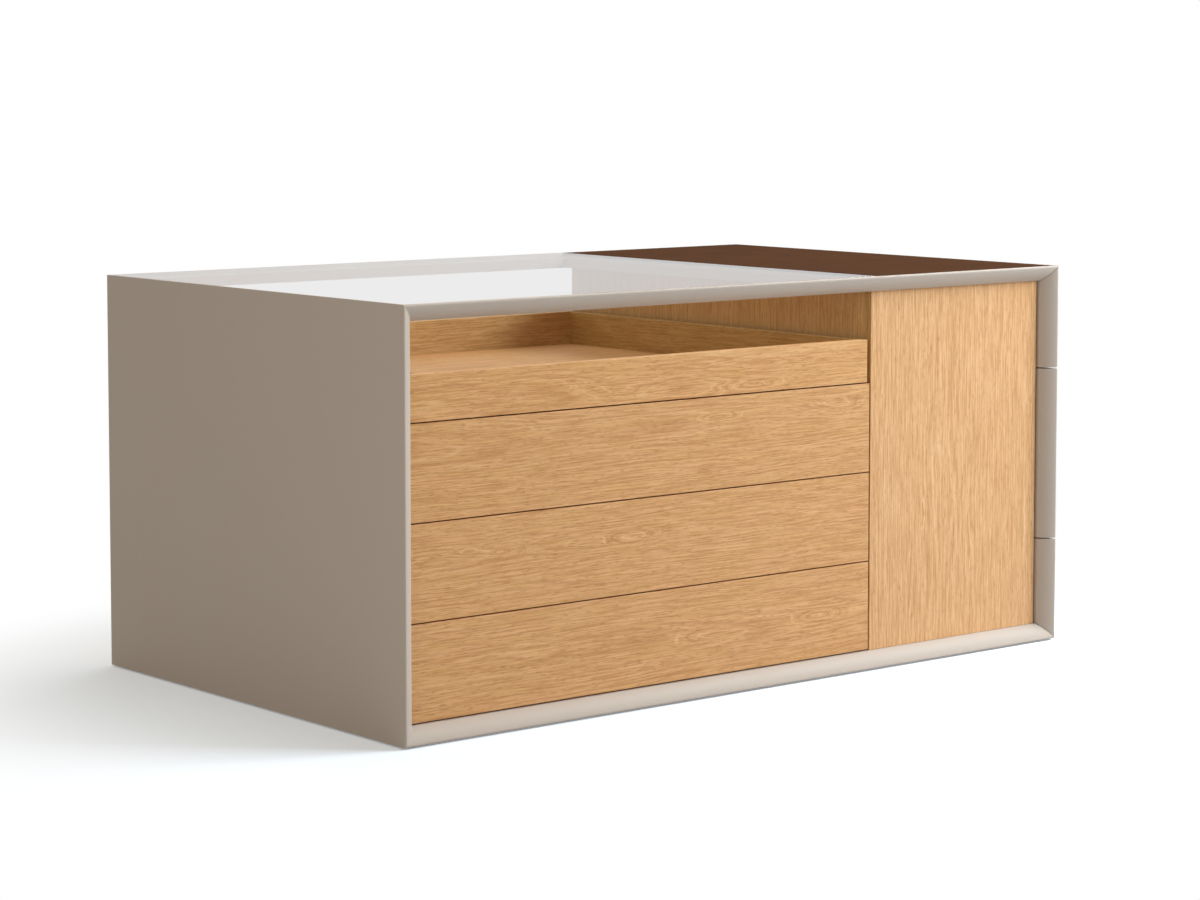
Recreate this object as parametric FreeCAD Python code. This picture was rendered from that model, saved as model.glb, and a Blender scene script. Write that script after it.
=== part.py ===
"""Closet island with a glazed display tray, oak drawers and lacquered end drawers.

Millimetres, +Z up, +X to the right along the front, the front faces -Y.
The origin is on the floor, under the middle of the island.

The carcass is three lacquered boards mitred into a frame whose front and rear edges
carry a rounded bevel. The fourth side of that frame, at the right, is the fronts of
three drawers, which are mitred into it and slide out along +X. The left part holds
a shallow tray under a pane of glass, and three oak drawers under the tray, which
slide out along -Y. Every drawer runs on two telescopic runners of three members.
"""

import FreeCAD
import Part
import math
import os

# Overall size
width = 1600.0
depth = 960.0
height = 750.0

# Lacquered boards of the frame
board = 30.0
arris_radius = 3.0
bevel_start_angle = 22.0     # degrees between the front plane and the bevel at the arris
front_recess = 24.0          # from the front plane back to where the bevel ends
mitre_gap = 1.0              # between the frame and the end drawer fronts, square to the mitre

# Oak boards
panel = 19.0                 # drawer fronts, divider, front board and the tray's back
lining = 16.0                # lining of the left side and the rear boards
panel_arris = 0.6

# Layout
end_bay_width = 490.0        # from the divider's left face to the right side
display_height = 91.5        # clear height between the tray's rim and the top board
tray_height = 81.0
drawer_count = 3             # oak drawers under the tray
fronts_setback = 5.0         # from where the bevels end to the oak fronts and the rear boards
reveal = 2.5                 # between one front and the next, above and below
side_gap = 3.0               # beside the oak fronts
lining_setback = 2.0         # from the back of the fronts to the lining
rear_clearance = 2.0         # from the front drawers' boxes to the rear panel

# Top
rim_lip = 6.0                # lacquered lip round the glass and the inlay
glass = 8.0
glass_play = 0.5
glass_arris = 0.8
pane_setback = 6.5           # from the divider's left face back to the end of the rebate
opening_margin = 30.0        # from the outer edges of the top to the opening under the glass
cross_lip = 18.0             # how far the top board reaches left of the divider
inlay = 5.0
inlay_play = 1.0
inlay_edge_radius = 1.5
pad_thickness = 1.0
pad_diameter = 8.0
pads_long = 4                # along each long edge of the pane

# Drawer boxes
box_wall = 12.0
box_edge_radius = 1.5
box_lift = 12.0              # from a drawer's lower limit to its box
box_drop = 16.0              # from a drawer's upper limit to its box
base = 8.0
base_lift = 10.0             # from the lower edge of the walls to the base
base_groove = 6.0
tray_floor = 13.0
end_box_clearance = 21.0     # from the end drawers' boxes to the divider

# Runners, two to a drawer
runner_width = 9.0           # between the carcass and the box
runner_height = 27.0
runner_sheet = 1.2
runner_bend_radius = 1.2     # outside, where the sheet is bent
runner_play = 0.4            # between one member and the next
runner_setback = 4.0         # from the back of the front to the runner
runner_lift = 32.0           # from the lower edge of the box to the runner's middle
front_runner_tail = 161.0    # from the runner to the back of a box in the front bay
end_runner_tail = 16.0       # from the runner to the back of a box in the end bay

# Glides
glide_height = 3.0
glide_diameter = 40.0
glide_chamfer = 1.0
glide_inset = 70.0
glides_long = 3

# Places that follow from the sizes
left = -width / 2
right = width / 2
front = -depth / 2
rear = depth / 2
bottom_top = glide_height + board
top_under = height - board
tray_top = top_under - display_height
tray_bottom = tray_top - tray_height
fronts_bottom = bottom_top + reveal
drawer_pitch = (tray_bottom - fronts_bottom) / drawer_count
divider_left = right - end_bay_width
divider_right = divider_left + panel
fronts_face = front + front_recess + fronts_setback
fronts_back = fronts_face + panel
rear_face = rear - front_recess - fronts_setback
rear_inside = rear_face - lining
lining_face = left + board + lining
end_mouth = right - board
front_box_length = rear_inside - rear_clearance - fronts_back
tray_length = rear_face - fronts_back
end_box_length = end_mouth - divider_right - end_box_clearance
pane_end = divider_left - pane_setback
rebate_floor = height - glass - pad_thickness
mitre_setback = mitre_gap / math.sqrt(2)    # what half the gap takes off each board along X or Z


def block(x, y, z):
    """Box between the two values of each span, given in either order."""
    corner = FreeCAD.Vector(min(x), min(y), min(z))
    return Part.makeBox(abs(x[1] - x[0]), abs(y[1] - y[0]), abs(z[1] - z[0]), corner)


def edges_at(shape, x=None, y=None, z=None):
    """Edges of the shape that lie wholly at the given x, y or z."""
    found = []
    for edge in shape.Edges:
        box = edge.BoundBox
        spans = ((x, box.XMin, box.XMax), (y, box.YMin, box.YMax), (z, box.ZMin, box.ZMax))
        if all(at is None or (abs(low - at) < 0.01 and abs(high - at) < 0.01)
               for at, low, high in spans):
            found.append(edge)
    return found


def rounded_face(corners):
    """Face over a polygon of (point, radius) corners, each rounded by an arc of its radius."""
    edges = []
    joints = []
    for i, (point, radius) in enumerate(corners):
        before = (corners[i - 1][0] - point).normalize()
        after = (corners[(i + 1) % len(corners)][0] - point).normalize()
        half = before.getAngle(after) / 2
        reach = radius / math.tan(half)
        entry = point + before * reach
        leave = point + after * reach
        joints.append((entry, leave))
        if radius > 0:
            bisector = (before + after).normalize()
            middle = point + bisector * (radius / math.sin(half) - radius)
            edges.append(Part.Arc(entry, middle, leave).toShape())
    for i, (entry, leave) in enumerate(joints):
        edges.append(Part.makeLine(leave, joints[(i + 1) % len(joints)][0]))
    return Part.Face(Part.Wire(Part.__sortEdges__(edges)))


# The frame

def bevel_edges(place):
    """Rounded arris and bevel of one board edge, from the outer face to the inner face.

    place turns (distance from the outer face, distance behind the front plane) into a
    point. The arris is an arc that turns past the front plane by the bevel's start
    angle. The bevel is an arc that leaves it there without a corner and ends at the
    board's inner face.
    """
    start = math.radians(bevel_start_angle)
    turn = math.pi / 2 + start

    def on_arris(angle):
        return (arris_radius - arris_radius * math.cos(angle),
                arris_radius - arris_radius * math.sin(angle))

    foot = on_arris(turn)
    run = board - foot[0]
    rise = front_recess - foot[1]
    slope = math.atan2(rise, run)
    bulge = math.hypot(run, rise) / 2 * math.tan((slope - start) / 2)
    crown = (foot[0] + run / 2 + bulge * math.sin(slope),
             foot[1] + rise / 2 - bulge * math.cos(slope))
    arris = Part.Arc(place(*on_arris(0.0)), place(*on_arris(turn / 2)), place(*foot))
    bevel = Part.Arc(place(*foot), place(*crown), place(board, front_recess))
    return [arris.toShape(), bevel.toShape()]


def frame_board(origin, inward, along):
    """Lacquered board with a bevel along its front and its rear edge.

    origin is on the board's outer face in the plane of the front, inward is the unit
    vector into the island, and along is the board's length and direction.
    """
    def near(distance, behind):
        return origin + inward * distance + FreeCAD.Vector(0, behind, 0)

    def far(distance, behind):
        return origin + inward * distance + FreeCAD.Vector(0, depth - behind, 0)

    edges = bevel_edges(near) + bevel_edges(far)
    edges.append(Part.makeLine(near(board, front_recess), far(board, front_recess)))
    edges.append(Part.makeLine(near(0, arris_radius), far(0, arris_radius)))
    return Part.Face(Part.Wire(Part.__sortEdges__(edges))).extrude(along)


def through_depth(corners):
    """Prism over a polygon of (x, z) corners, from the front plane to the rear plane."""
    points = [FreeCAD.Vector(x, front, z) for x, z in corners]
    return Part.Face(Part.makePolygon(points + points[:1])).extrude(FreeCAD.Vector(0, depth, 0))


def glass_rebate():
    """Space of the rebate for the pane, milled after the left mitre is glued."""
    return block((left + rim_lip, pane_end), (front + rim_lip, rear - rim_lip),
                 (rebate_floor, height))


def side_panel_left():
    """Left side, mitred to the top and the bottom board."""
    blank = frame_board(FreeCAD.Vector(left, front, glide_height), FreeCAD.Vector(1, 0, 0),
                        FreeCAD.Vector(0, 0, height - glide_height))
    solid = blank.common(through_depth([
        (left, glide_height),
        (left + board, bottom_top),
        (left + board, top_under),
        (left, height),
    ]))
    return solid.cut(glass_rebate())


def bottom_board():
    """Bottom, mitred to the left side and, with a gap, to the lowest end drawer front."""
    blank = frame_board(FreeCAD.Vector(left, front, glide_height), FreeCAD.Vector(0, 0, 1),
                        FreeCAD.Vector(width, 0, 0))
    return blank.common(through_depth([
        (left, glide_height),
        (right - mitre_setback, glide_height),
        (right - board - mitre_setback, bottom_top),
        (left + board, bottom_top),
    ]))


def top_board():
    """Top, with the opening and the rebate for the glass and the pocket for the inlay."""
    blank = frame_board(FreeCAD.Vector(left, front, height), FreeCAD.Vector(0, 0, -1),
                        FreeCAD.Vector(width, 0, 0))
    solid = blank.common(through_depth([
        (left, height),
        (left + board, top_under),
        (right - board - mitre_setback, top_under),
        (right - mitre_setback, height),
    ]))
    opening = block((left + opening_margin, divider_left - cross_lip),
                    (front + opening_margin, rear - opening_margin), (top_under, height))
    pocket = block((pane_end, right - rim_lip), (front + rim_lip, rear - rim_lip),
                   (height - inlay, height))
    return solid.cut(glass_rebate()).cut(opening).cut(pocket)


# What lies in the top

def glass_top():
    """Pane of glass, flush with the rim, with ground upper edges."""
    pane = block((left + rim_lip + glass_play, pane_end - glass_play),
                 (front + rim_lip + glass_play, rear - rim_lip - glass_play),
                 (rebate_floor + pad_thickness, height))
    return pane.makeChamfer(glass_arris, edges_at(pane, z=height))


def glass_pads():
    """Clear pads on the ledge of the rebate, which the pane lies on."""
    first = left + (rim_lip + opening_margin) / 2
    last = (divider_left - cross_lip + pane_end) / 2
    step = (last - first) / (pads_long - 1)
    from_middle = depth / 2 - (rim_lip + opening_margin) / 2
    return [
        Part.makeCylinder(pad_diameter / 2, pad_thickness,
                          FreeCAD.Vector(first + i * step, side * from_middle, rebate_floor))
        for side in (-1, 1)
        for i in range(pads_long)
    ]


def top_inlay():
    """Leather-covered board in its pocket, with rounded upper edges."""
    slab = block((pane_end + inlay_play, right - rim_lip - inlay_play),
                 (front + rim_lip + inlay_play, rear - rim_lip - inlay_play),
                 (height - inlay, height))
    return slab.makeFillet(inlay_edge_radius, edges_at(slab, z=height))


# Oak boards and what the island stands on

def gable_left():
    """Oak lining of the left side, which carries the left runners."""
    return block((left + board, lining_face), (fronts_back + lining_setback, rear_face),
                 (bottom_top, top_under))


def divider():
    """Oak board between the front bay and the end bay."""
    return block((divider_left, divider_right), (fronts_back, rear_face), (bottom_top, top_under))


def front_board_right():
    """Fixed oak board at the right of the front, which covers the divider's edge."""
    return oak_front((divider_left, end_mouth - side_gap), (bottom_top, top_under))


def rear_board_right():
    """Fixed oak board behind the end bay."""
    return block((divider_right, end_mouth - side_gap), (rear_inside, rear_face),
                 (bottom_top, top_under))


def rear_panel():
    """Fixed oak board behind the oak drawers, up to the tray."""
    return block((lining_face, divider_left), (rear_inside, rear_face),
                 (bottom_top, tray_bottom - reveal))


def glides():
    """Low round glides under the bottom board."""
    first = left + glide_inset
    step = (width - 2 * glide_inset) / (glides_long - 1)
    shapes = []
    for y in (front + glide_inset, rear - glide_inset):
        for i in range(glides_long):
            disc = Part.makeCylinder(glide_diameter / 2, glide_height,
                                     FreeCAD.Vector(first + i * step, y, 0))
            shapes.append(disc.makeChamfer(glide_chamfer, edges_at(disc, z=0)))
    return shapes


# Drawer fronts

def oak_front(x, z):
    """Oak board in the plane of the fronts, with a small arris round its face."""
    solid = block(x, (fronts_face, fronts_back), z)
    return solid.makeChamfer(panel_arris, edges_at(solid, y=fronts_face))


def front_drawer_front(right_gap, z):
    """Front of a drawer in the front bay, with the given gap at its right."""
    return oak_front((left + board + side_gap, divider_left - right_gap), z)


def end_drawer_front(z):
    """Lacquered front of an end drawer: a length of the frame's right side.

    Where it reaches the top or the bottom of the island, it is mitred to the frame.
    """
    blank = frame_board(FreeCAD.Vector(right, front, glide_height), FreeCAD.Vector(-1, 0, 0),
                        FreeCAD.Vector(0, 0, height - glide_height))
    outer = list(z)
    inner = list(z)
    if z[0] == glide_height:
        outer[0] = glide_height + mitre_setback
        inner[0] = outer[0] + board
    if z[1] == height:
        outer[1] = height - mitre_setback
        inner[1] = outer[1] - board
    return blank.common(through_depth([
        (right, outer[0]),
        (right, outer[1]),
        (right - board, inner[1]),
        (right - board, inner[0]),
    ]))


# Drawer boxes and runners, in either bay

def front_bay(across, inward, z):
    """Point in the front bay: across along X, inward from the back of the oak fronts."""
    return FreeCAD.Vector(across, fronts_back + inward, z)


def end_bay(across, inward, z):
    """Point in the end bay: across along Y, inward from the back of the end fronts."""
    return FreeCAD.Vector(end_mouth - inward, across, z)


def bay_block(bay, across, inward, z):
    """Box in a bay between the two values of each span."""
    low = bay(across[0], inward[0], z[0])
    high = bay(across[1], inward[1], z[1])
    return block((low.x, high.x), (low.y, high.y), (low.z, high.z))


def round_top(wall, z):
    """Wall with its two long upper edges rounded."""
    edges = sorted(edges_at(wall, z=z), key=lambda edge: edge.Length)
    return wall.makeFillet(box_edge_radius, edges[-2:])


def drawer_box(bay, walls, length, z):
    """Sides, back and base of a drawer box between the two walls that carry its runners.

    The base runs in a groove of each side and under the back.
    """
    outer = (walls[0] + runner_width, walls[1] - runner_width)
    inner = (outer[0] + box_wall, outer[1] - box_wall)
    groove = (inner[0] - base_groove, inner[1] + base_groove)
    base_z = (z[0] + base_lift, z[0] + base_lift + base)
    slab = bay_block(bay, groove, (0, length), base_z)
    sides = [round_top(bay_block(bay, (outer[i], inner[i]), (0, length), z), z[1]).cut(slab)
             for i in range(2)]
    back = bay_block(bay, inner, (length - box_wall, length), (base_z[1], z[1]))
    return {"sides": sides, "back": [round_top(back, z[1])], "base": [slab]}


def tray_box(bay, walls, length, z):
    """Sides, back and base of the tray.

    Its back is as wide as its box and stands in the plane of the rear boards. Its base
    lies between its walls, flush below.
    """
    outer = (walls[0] + runner_width, walls[1] - runner_width)
    inner = (outer[0] + box_wall, outer[1] - box_wall)
    inside = length - panel
    sides = [round_top(bay_block(bay, (outer[i], inner[i]), (0, inside), z), z[1])
             for i in range(2)]
    back = bay_block(bay, outer, (inside, length), z)
    floor = bay_block(bay, inner, (0, inside), (z[0], z[0] + tray_floor))
    return {"sides": sides, "back": [round_top(back, z[1])], "base": [floor]}


def channel(bay, web, sense, reach, tall, length, middle):
    """Runner member bent from sheet to a C; its flanges point from the web along sense."""
    def at(out, up):
        return bay(web + sense * out, runner_setback, middle + up)

    face = rounded_face([
        (at(0, -tall / 2), runner_bend_radius),
        (at(reach, -tall / 2), 0),
        (at(reach, -tall / 2 + runner_sheet), 0),
        (at(runner_sheet, -tall / 2 + runner_sheet), 0),
        (at(runner_sheet, tall / 2 - runner_sheet), 0),
        (at(reach, tall / 2 - runner_sheet), 0),
        (at(reach, tall / 2), 0),
        (at(0, tall / 2), runner_bend_radius),
    ])
    start = bay(0, 0, 0)
    return face.extrude(bay(0, length, 0) - start)


def runners(bay, walls, length, middle):
    """Fixed, middle and inner members of the two runners of one drawer.

    The middle member lies in the fixed one. The inner one lies in the middle one, with
    its web on the drawer's box and its flanges towards the wall.
    """
    nesting = runner_sheet + runner_play
    members = {"fixed": [], "runner_mids": [], "runners": []}
    for wall, sense in ((walls[0], 1), (walls[1], -1)):
        box_face = wall + sense * runner_width
        members["fixed"].append(channel(
            bay, wall, sense, runner_width - runner_play, runner_height, length, middle))
        members["runner_mids"].append(channel(
            bay, wall + sense * nesting, sense, runner_width - runner_play - nesting,
            runner_height - 2 * nesting, length, middle))
        members["runners"].append(channel(
            bay, box_face, -sense, runner_width - 2 * nesting,
            runner_height - 4 * nesting, length, middle))
    return members


def front_drawers():
    """Pieces of the tray and of the oak drawers, and the fixed members of their runners.

    The tray's front ends flush with its box at the right, which leaves the width of a
    runner there.
    """
    walls = (lining_face, divider_left)
    runner_length = front_box_length - runner_setback - front_runner_tail
    pieces = {}
    fixed = []

    def add(name, front_piece, box, lower_edge):
        members = runners(front_bay, walls, runner_length, lower_edge + runner_lift)
        fixed.extend(members.pop("fixed"))
        for kind, shapes in {"front": [front_piece], **box, **members}.items():
            pieces[name + "_" + kind] = shapes

    for i in range(drawer_count):
        low = fronts_bottom + i * drawer_pitch
        high = low + drawer_pitch - reveal
        box_z = (low + box_lift, high - box_drop)
        add("drawer_%d" % (i + 1), front_drawer_front(side_gap, (low, high)),
            drawer_box(front_bay, walls, front_box_length, box_z), box_z[0])
    tray_z = (tray_bottom, tray_top)
    add("tray", front_drawer_front(runner_width, tray_z),
        tray_box(front_bay, walls, tray_length, tray_z), tray_z[0])
    pieces["runners_fixed_front"] = fixed
    return pieces


def end_drawers():
    """Pieces of the lacquered end drawers, and the fixed members of their runners.

    Their two seams line up with the one over the lowest oak drawer and the one under
    the tray.
    """
    walls = (fronts_back, rear_inside)
    runner_length = end_box_length - runner_setback - end_runner_tail
    seams = (fronts_bottom + drawer_pitch - reveal, tray_bottom - reveal)
    fronts_z = ((glide_height, seams[0]), (seams[0] + reveal, seams[1]),
                (seams[1] + reveal, height))
    pieces = {}
    fixed = []
    for i, (low, high) in enumerate(fronts_z):
        box_z = (max(low, fronts_bottom) + box_lift, min(high, top_under - reveal) - box_drop)
        members = runners(end_bay, walls, runner_length, box_z[0] + runner_lift)
        fixed.extend(members.pop("fixed"))
        parts = {"front": [end_drawer_front((low, high))], **members}
        parts.update(drawer_box(end_bay, walls, end_box_length, box_z))
        for kind, shapes in parts.items():
            pieces["end_drawer_%d_%s" % (i + 1, kind)] = shapes
    pieces["runners_fixed_end"] = fixed
    return pieces


def main():
    """Write one STEP file for each piece of the island."""
    pieces = {
        "side_panel_left": [side_panel_left()],
        "bottom_board": [bottom_board()],
        "top_board": [top_board()],
        "glass_top": [glass_top()],
        "glass_pads": glass_pads(),
        "top_inlay": [top_inlay()],
        "gable_left": [gable_left()],
        "divider": [divider()],
        "front_board_right": [front_board_right()],
        "rear_board_right": [rear_board_right()],
        "rear_panel": [rear_panel()],
        "glides": glides(),
        **front_drawers(),
        **end_drawers(),
    }
    os.makedirs("parts", exist_ok=True)
    for name, shapes in pieces.items():
        shape = shapes[0] if len(shapes) == 1 else Part.makeCompound(shapes)
        shape.exportStep(os.path.join("parts", name + ".step"))
        print("%-24s %d solid(s) %12.0f mm3 valid %s"
              % (name, len(shape.Solids), shape.Volume, shape.isValid()))


if __name__ == "__main__":
    main()
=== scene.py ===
"""Closet island: lacquered frame, oak drawers, glass over a display tray, leather-covered top.

Metres, +Z up, +X to the right along the front, the front faces -Y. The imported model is
the frame: its boxes give the places of the pieces that are built here, and its nodes keep
their meshes and get materials.
"""

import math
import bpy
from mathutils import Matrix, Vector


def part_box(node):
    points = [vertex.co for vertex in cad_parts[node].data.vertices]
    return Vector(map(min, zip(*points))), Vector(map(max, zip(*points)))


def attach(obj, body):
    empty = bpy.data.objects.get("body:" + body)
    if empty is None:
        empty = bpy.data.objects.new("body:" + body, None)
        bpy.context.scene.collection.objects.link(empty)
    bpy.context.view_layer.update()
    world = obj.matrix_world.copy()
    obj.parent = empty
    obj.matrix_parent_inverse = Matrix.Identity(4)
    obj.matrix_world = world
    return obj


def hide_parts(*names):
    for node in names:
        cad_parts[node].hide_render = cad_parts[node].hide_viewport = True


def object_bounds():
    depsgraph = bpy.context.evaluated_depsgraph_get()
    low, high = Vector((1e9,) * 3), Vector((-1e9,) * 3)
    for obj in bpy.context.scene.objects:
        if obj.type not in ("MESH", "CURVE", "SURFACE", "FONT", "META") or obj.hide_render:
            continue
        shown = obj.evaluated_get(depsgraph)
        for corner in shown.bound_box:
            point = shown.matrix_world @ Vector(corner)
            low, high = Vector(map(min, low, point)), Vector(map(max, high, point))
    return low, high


bl_info = {
    "name": "Closet island",
    "version": (1, 0, 0),
    "blender": (4, 5, 0),
    "location": "3D View > Sidebar > Island",
    "description": "Builds the lacquered frame and the top, and finishes every piece of the island",
    "category": "Object",
}

import bmesh
import bpy
import numpy as np
from bpy.props import FloatProperty, FloatVectorProperty, PointerProperty
from mathutils import Euler, Vector

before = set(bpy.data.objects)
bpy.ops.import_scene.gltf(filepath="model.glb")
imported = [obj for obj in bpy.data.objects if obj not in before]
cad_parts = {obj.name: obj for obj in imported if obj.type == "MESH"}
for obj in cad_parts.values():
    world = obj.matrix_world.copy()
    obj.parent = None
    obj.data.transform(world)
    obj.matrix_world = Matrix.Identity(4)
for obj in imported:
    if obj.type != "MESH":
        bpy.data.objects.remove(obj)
cad_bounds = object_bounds()

MM = 0.001


def linear(code):
    """Linear red, green, blue and alpha of an sRGB hex colour."""
    values = [int(code[i:i + 2], 16) / 255 for i in (1, 3, 5)]
    return (*(v / 12.92 if v <= 0.04045 else ((v + 0.055) / 1.055) ** 2.4 for v in values), 1.0)


WHITE = linear("#FFFFFF")

# Places of the frame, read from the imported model
LEFT, FRONT = cad_bounds[0][0], cad_bounds[0][1]
RIGHT, REAR, HEIGHT = cad_bounds[1]
FRAME_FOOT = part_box("side_panel_left")[0].z
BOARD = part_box("side_panel_left")[1].x - LEFT
MITRE_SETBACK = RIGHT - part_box("top_board")[1].x
GLASS_LOW, GLASS_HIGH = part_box("glass_top")
INLAY_LOW, INLAY_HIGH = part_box("top_inlay")
REBATE_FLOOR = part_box("glass_pads")[0].z

# Depth of the bevel, plays round the pane and the inlay, and the opening under the glass
RECESS = 24.0 * MM
GLASS_PLAY = 0.5 * MM
INLAY_PLAY = 1.0 * MM
OPENING_MARGIN = 30.0 * MM
CROSS_LIP = 18.0 * MM

# Points on each rounding, and how far past one the flat face gets a row of its own
ARRIS_POINTS = 13
BEVEL_POINTS = 17
SEAM_POINTS = 5
LEATHER_POINTS = 7
CORNER_POINTS = 6
FLAT_ROW = 0.5 * MM
LEATHER_ROW = 0.4 * MM

# Corners this near each other are one vertex, and from this angle on an edge is drawn sharp
SNAP = 1e-7
SHARP_ANGLE = math.radians(20)

# Soft lights: above the rear of the top, high at the right, in front, and two faint ones at the
# left, which are warmer than the front one. Each has its place, what it is aimed at, its side's
# length, its colour and whether it is mirrored. The front one and the rear one aren't, so that
# the glass stays clear from every side
LIGHTS = {
    "top": ((0.1, 0.7, 3.3), (0.1, 0.2, 0.6), 1.6, WHITE, True),
    "side": ((3.4, -1.6, 3.2), (0.3, -0.3, 0.4), 1.6, WHITE, True),
    "front": ((2.9, -2.8, 2.7), (0.3, -0.4, 0.35), 2.2, linear("#E6F1FF"), False),
    "fill": ((-2.9, -1.7, 1.5), (-0.8, -0.4, 0.4), 1.2, linear("#FFF4E9"), True),
    "rear": ((-1.6, 3.2, 1.9), (-0.1, 0.4, 0.4), 1.8, linear("#FFF4E9"), False),
}

# Floor: half its side, and the oval round the island in which its shadow fades out
FLOOR_REACH = 30.0
SHADOW_OVAL = (1.0, 1.3, 1.0)
FADE_START = 0.95
FADE_END = 1.6

# Camera: a little above the top, turned to the front left corner, its lens in millimetres
CAMERA_PLACE = (-3.8320, -4.6886, 1.1490)
CAMERA_TURN = (math.radians(90 - 4.428), 0.0, math.radians(-39.379))
FOCAL_LENGTH = 93.893
SENSOR_WIDTH = 36.0
LENS_SHIFT = -0.12


class IslandSizes(bpy.types.PropertyGroup):
    """Sizes of the edges, which the eye reads from their highlights"""
    arris: FloatProperty(
        name="Arris", description="Radius of the frame's outer edges",
        default=3.0 * MM, min=0.5 * MM, max=4.0 * MM, precision=4, unit="LENGTH")
    bevel_start: FloatProperty(
        name="Bevel start", description="Angle between the front plane and the bevel at its arris",
        default=math.radians(22), min=0.0, max=math.radians(40), subtype="ANGLE")
    seam_edge: FloatProperty(
        name="Seam edge", description="Rounding of the end drawer fronts where two of them meet",
        default=0.7 * MM, min=0.1 * MM, max=2.0 * MM, precision=4, unit="LENGTH")
    leather_edge: FloatProperty(
        name="Leather edge", description="Rounding of the inlay's upper edge",
        default=1.5 * MM, min=0.5 * MM, max=3.0 * MM, precision=4, unit="LENGTH")
    leather_corner: FloatProperty(
        name="Leather corner", description="Rounding of the inlay's corners, seen from above",
        default=2.5 * MM, min=0.5 * MM, max=10.0 * MM, precision=4, unit="LENGTH")


class IslandColours(bpy.types.PropertyGroup):
    """Colours of the finishes"""
    lacquer: FloatVectorProperty(
        name="Lacquer", description="Taupe of the frame", size=4, min=0.0, max=1.0,
        default=linear("#C2B6A8"), subtype="COLOR")
    oak_pale: FloatVectorProperty(
        name="Oak, pale", description="Late wood of the veneer", size=4, min=0.0, max=1.0,
        default=linear("#DBAF7E"), subtype="COLOR")
    oak_dark: FloatVectorProperty(
        name="Oak, dark", description="Early wood of the veneer", size=4, min=0.0, max=1.0,
        default=linear("#C1915F"), subtype="COLOR")
    oak_pore: FloatVectorProperty(
        name="Oak, pores", description="Open pores of the veneer", size=4, min=0.0, max=1.0,
        default=linear("#9A6437"), subtype="COLOR")
    leather: FloatVectorProperty(
        name="Leather", description="Brown of the covered top part", size=4, min=0.0, max=1.0,
        default=linear("#523521"), subtype="COLOR")
    steel: FloatVectorProperty(
        name="Zinc", description="Zinc plating of the runners", size=4, min=0.0, max=1.0,
        default=linear("#BDC0C2"), subtype="COLOR")


class IslandStudio(bpy.types.PropertyGroup):
    """Light of the studio"""
    top_power: FloatProperty(
        name="Top light", description="Power of the soft light above the rear of the top",
        default=32.0, min=0.0, unit="POWER")
    side_power: FloatProperty(
        name="Side light", default=83.0, min=0.0, unit="POWER",
        description="Power of the soft light high at the right, which casts the shadow")
    front_power: FloatProperty(
        name="Front light", description="Power of the large light in front, at the right",
        default=183.0, min=0.0, unit="POWER")
    fill_power: FloatProperty(
        name="Fill light", description="Power of the faint light in front of the left side",
        default=14.8, min=0.0, unit="POWER")
    rear_power: FloatProperty(
        name="Rear light", description="Power of the faint light behind the rear left corner",
        default=20.0, min=0.0, unit="POWER")
    ambient: FloatProperty(
        name="Ambient", description="Strength of the light from all round", default=0.23, min=0.0)


# Meshes

def loft(loops):
    """Faces between neighbouring closed loops, which all have the same number of points."""
    near, far = loops[:-1], loops[1:]
    faces = np.stack((near, np.roll(near, -1, axis=1), np.roll(far, -1, axis=1), far), axis=2)
    return faces.reshape(-1, 4, 3)


def remove_object(name):
    """Takes away what an earlier run of an operator left under this name."""
    old = bpy.data.objects.get(name)
    if old is not None:
        bpy.data.objects.remove(old)


def build_piece(name, patches, material, node, body):
    """Closed mesh from patches of faces, riding on a body in place of a node.

    A patch is an array of faces with the same number of corners, or one face. Corners at
    the same place become one vertex, and the faces are then turned outwards.
    """
    remove_object(name)
    faces = []
    for patch in patches:
        patch = np.array([np.asarray(corner) for corner in patch], dtype=float)
        faces.extend(patch if patch.ndim == 3 else [patch])
    corners = np.concatenate(faces)
    keys, index = np.unique(np.round(corners / SNAP).astype(np.int64), axis=0, return_inverse=True)
    ends = np.cumsum([len(face) for face in faces])[:-1]
    loops = [part.tolist() for part in np.split(index.ravel(), ends)]
    mesh = bpy.data.meshes.new(name)
    mesh.from_pydata(keys * SNAP, [], loops)
    shell = bmesh.new()
    shell.from_mesh(mesh)
    if any(not edge.is_manifold for edge in shell.edges):
        raise RuntimeError("%s isn't closed" % name)
    bmesh.ops.recalc_face_normals(shell, faces=shell.faces)
    shell.to_mesh(mesh)
    shell.free()
    mesh.shade_smooth()
    mesh.set_sharp_from_angle(angle=SHARP_ANGLE)
    mesh.materials.append(material)
    piece = bpy.data.objects.new(name, mesh)
    bpy.context.scene.collection.objects.link(piece)
    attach(piece, body)
    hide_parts(node)


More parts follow.
